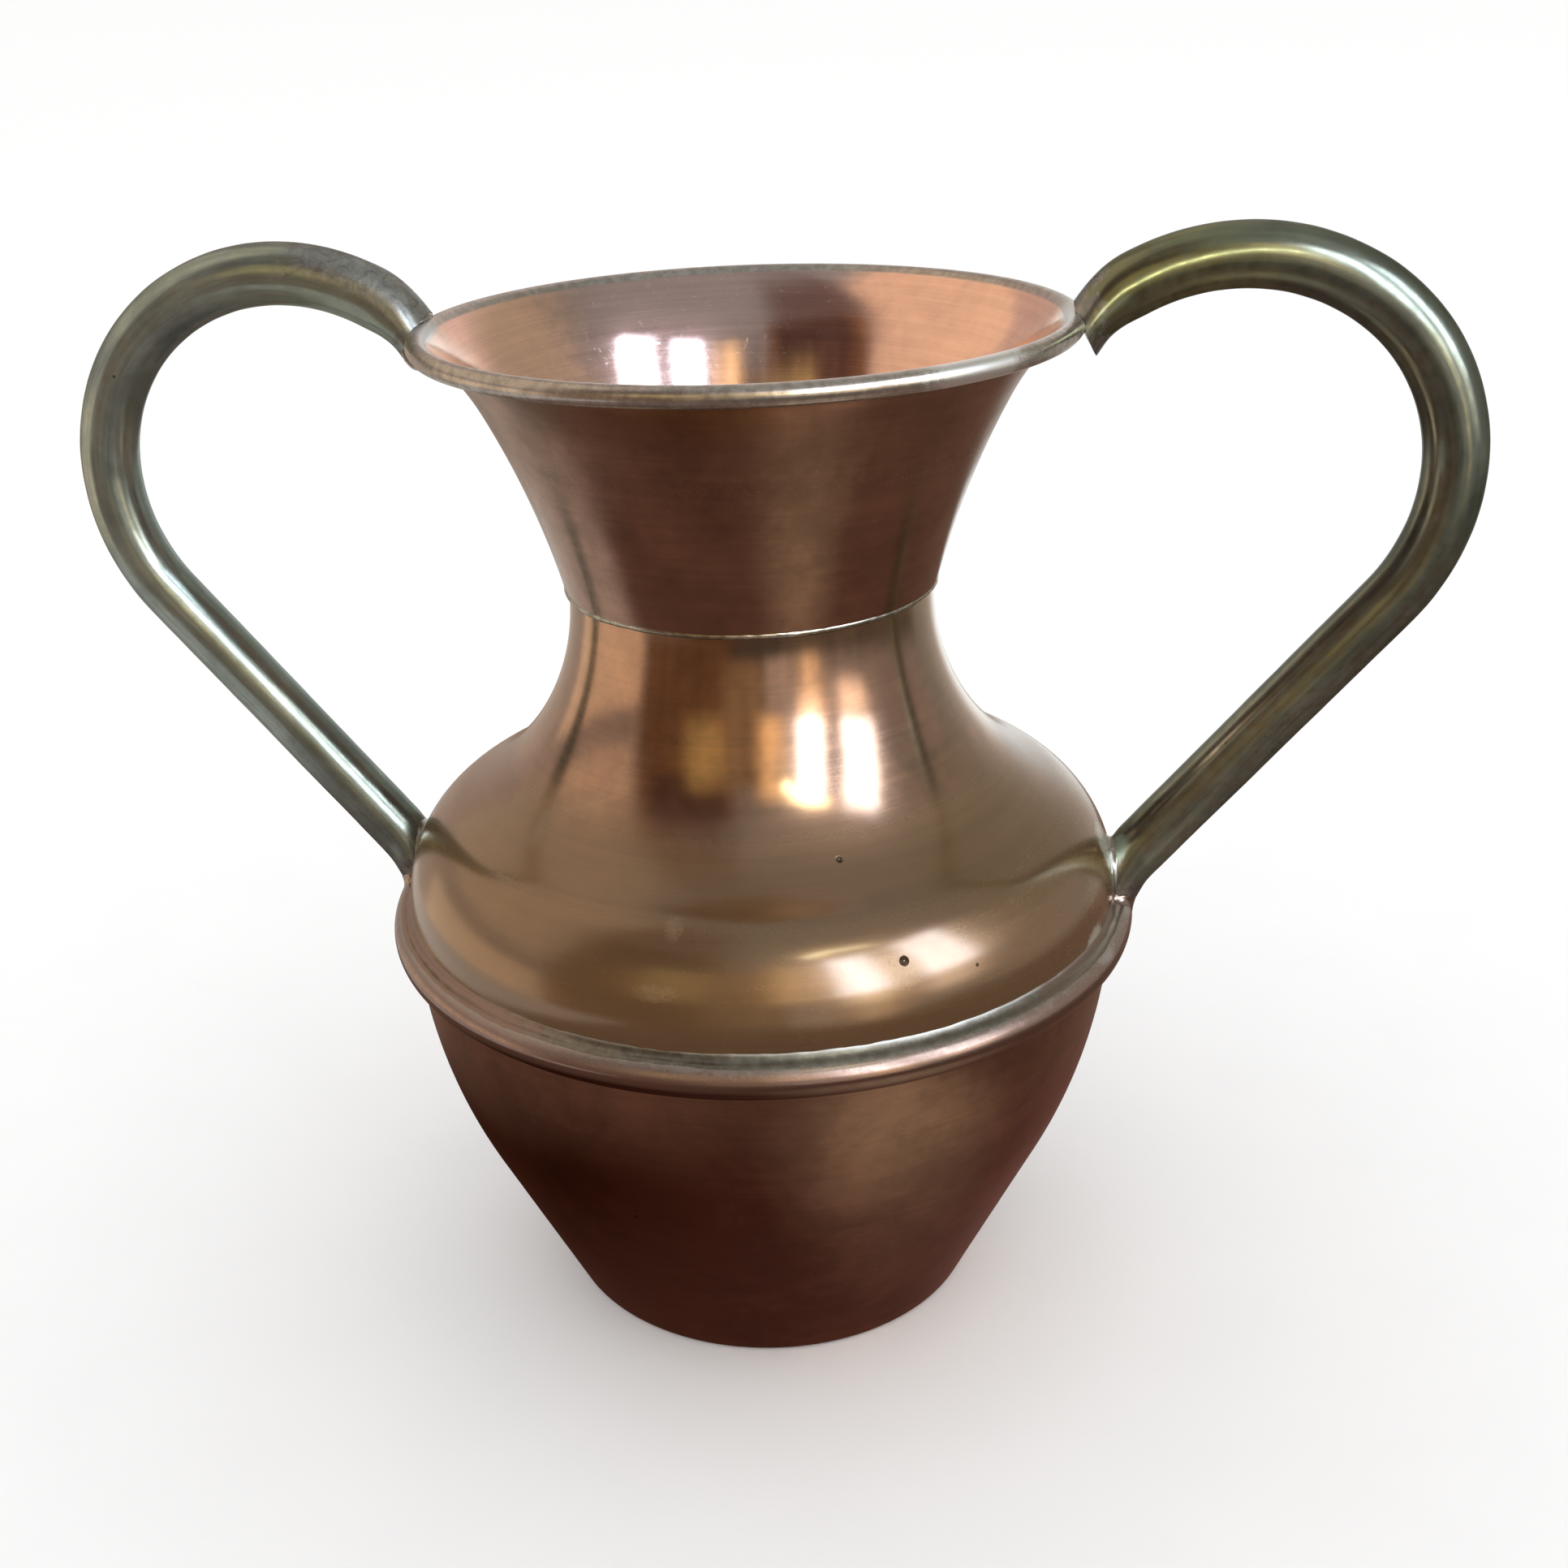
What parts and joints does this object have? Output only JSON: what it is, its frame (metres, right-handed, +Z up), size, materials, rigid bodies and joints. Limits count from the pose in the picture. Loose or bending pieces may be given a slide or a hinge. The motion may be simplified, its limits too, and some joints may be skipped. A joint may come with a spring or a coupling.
{
  "type": "two-handled vase",
  "caption": "Waisted copper vase with a flared mouth, a beaded belly and tall looped brass tube handles soldered from the rim to the belly.",
  "frame": {"origin": "centre of the base, on the surface that the vase stands on", "axes": "+Z up along the body's axis, +X towards the right handle, handles in the XZ plane"},
  "size_m": [0.2784, 0.16, 0.2272],
  "materials": {
    "aged_copper": "satin",
    "tarnished_brass": "satin",
    "soft_solder": "satin",
    "steel_wire": "satin"
  },
  "bodies": {
    "root": {"bowl": "aged_copper", "shoulder": "aged_copper", "neck_funnel": "aged_copper", "rim_wire": "steel_wire", "neck_solder": "soft_solder", "belly_solder": "soft_solder", "left_handle": "tarnished_brass", "right_handle": "tarnished_brass", "left_rim_solder": "soft_solder", "right_rim_solder": "soft_solder", "left_foot_solder": "soft_solder", "right_foot_solder": "soft_solder"}
  },
  "joints": []
}
